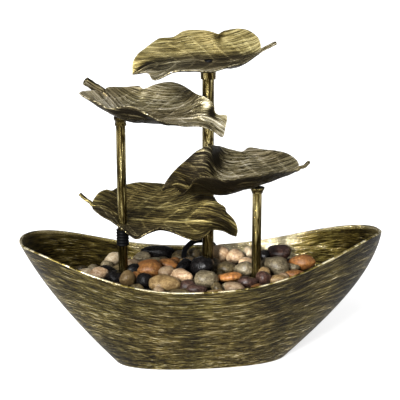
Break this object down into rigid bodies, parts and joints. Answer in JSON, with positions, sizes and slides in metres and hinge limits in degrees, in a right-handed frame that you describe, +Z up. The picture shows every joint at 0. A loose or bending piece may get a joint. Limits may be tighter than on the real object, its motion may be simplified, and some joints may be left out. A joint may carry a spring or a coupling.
{
  "type": "tabletop water fountain",
  "caption": "Boat-shaped bowl of river pebbles with leaf-shaped water dishes that swivel on upright poles, fed by a submersible pump with a mains cord.",
  "frame": {"origin": "on the table under the centre of the bowl", "axes": "+X along the bowl to its right end, +Y to the back, +Z up"},
  "size_m": [0.3526, 0.28, 0.3189],
  "materials": {
    "bowl_bronze": "antique bronze paint, dry-brushed gold along the hull, satin",
    "leaf_bronze": "antique bronze with gold highlights on veins and edges, satin",
    "pole_brass": "antiqued brass tube, dark along its sides",
    "black_rubber": "matte black rubber",
    "black_plastic": "moulded black plastic",
    "foot_pad": "matte dark felt-like rubber",
    "magnet": "dark grey ferrite",
    "pump_steel": "ground steel",
    "plug_pin": "stamped brass pin",
    "cord_black": "smooth black cord jacket",
    "stone_cream": "tumbled, satin",
    "stone_black": "tumbled, satin",
    "stone_tan": "tumbled, satin",
    "stone_orange": "tumbled, satin",
    "stone_grey": "tumbled, satin",
    "stone_pink": "tumbled, satin",
    "stone_maroon": "tumbled, satin",
    "stone_olive": "tumbled, satin"
  },
  "bodies": {
    "bowl_and_poles": {"bowl": "bowl_bronze", "foot_pad_1": "foot_pad", "foot_pad_2": "foot_pad", "foot_pad_3": "foot_pad", "foot_pad_4": "foot_pad", "centre_pole": "pole_brass", "left_pole": "pole_brass", "right_pole": "pole_brass", "left_pole_socket": "black_plastic", "right_pole_socket": "black_plastic", "left_pole_sleeve": "black_rubber", "pump_housing": "black_plastic", "pump_intake_cover": "black_plastic", "pump_shaft": "pump_steel", "pump_outlet_nozzle": "black_plastic", "riser_hose": "black_rubber", "suction_cup_1": "black_rubber", "suction_cup_2": "black_rubber", "suction_cup_3": "black_rubber", "suction_cup_4": "black_rubber", "pump_cord_gland": "black_rubber", "cord_run": "cord_black", "cord_coil": "cord_black", "cord_tail": "cord_black", "cord_tie": "black_plastic", "plug_body": "black_rubber", "plug_strain_relief": "black_rubber", "plug_blade_1": "plug_pin", "plug_blade_2": "plug_pin", "pebble_bed": "stone_olive", "pebble_1": "stone_cream", "pebble_2": "stone_black", "pebble_3": "stone_tan", "pebble_4": "stone_orange", "pebble_5": "stone_tan", "pebble_6": "stone_cream", "pebble_7": "stone_black", "pebble_8": "stone_grey", "pebble_9": "stone_pink", "pebble_10": "stone_grey", "pebble_11": "stone_pink", "pebble_12": "stone_grey", "pebble_13": "stone_maroon", "pebble_14": "stone_orange", "pebble_15": "stone_olive", "pebble_16": "stone_maroon"},
    "top_leaf": {"leaf_1_blade": "leaf_bronze", "leaf_1_stalk": "leaf_bronze", "leaf_1_collar": "pole_brass"},
    "upper_left_leaf": {"leaf_2_blade": "leaf_bronze", "leaf_2_stalk": "leaf_bronze", "leaf_2_collar": "pole_brass"},
    "right_leaf": {"leaf_3_blade": "leaf_bronze", "leaf_3_stalk": "leaf_bronze", "leaf_3_collar": "pole_brass"},
    "lower_left_leaf": {"leaf_4_blade": "leaf_bronze", "leaf_4_stalk": "leaf_bronze"},
    "pump_rotor": {"pump_rotor": "magnet", "pump_impeller": "black_plastic"},
    "flow_dial": {"pump_flow_dial": "black_plastic"}
  },
  "joints": [
    {"name": "top_leaf_swivel", "type": "hinge", "parent": "bowl_and_poles", "child": "top_leaf", "pos_m": [0.009, 0.018, 0.284], "axis": [0, 0, 1], "continuous": true},
    {"name": "upper_left_leaf_swivel", "type": "hinge", "parent": "bowl_and_poles", "child": "upper_left_leaf", "pos_m": [-0.076, 0.011, 0.24], "axis": [0, 0, 1], "range_deg": [-90, 3]},
    {"name": "right_leaf_swivel", "type": "hinge", "parent": "bowl_and_poles", "child": "right_leaf", "pos_m": [0.0535, -0.009, 0.173], "axis": [0, 0, 1], "range_deg": [-6, 5]},
    {"name": "lower_left_leaf_swivel", "type": "hinge", "parent": "bowl_and_poles", "child": "lower_left_leaf", "pos_m": [-0.076, 0.011, 0.138], "axis": [0, 0, 1], "range_deg": [-90, 1]},
    {"name": "rotor_spin", "type": "hinge", "parent": "bowl_and_poles", "child": "pump_rotor", "pos_m": [0.009, 0.009, 0.027], "axis": [0, 1, 0], "continuous": true},
    {"name": "flow_dial_turn", "type": "hinge", "parent": "bowl_and_poles", "child": "flow_dial", "pos_m": [0.009, -0.012, 0.027], "axis": [0, 1, 0], "range_deg": [-90, 90]}
  ]
}
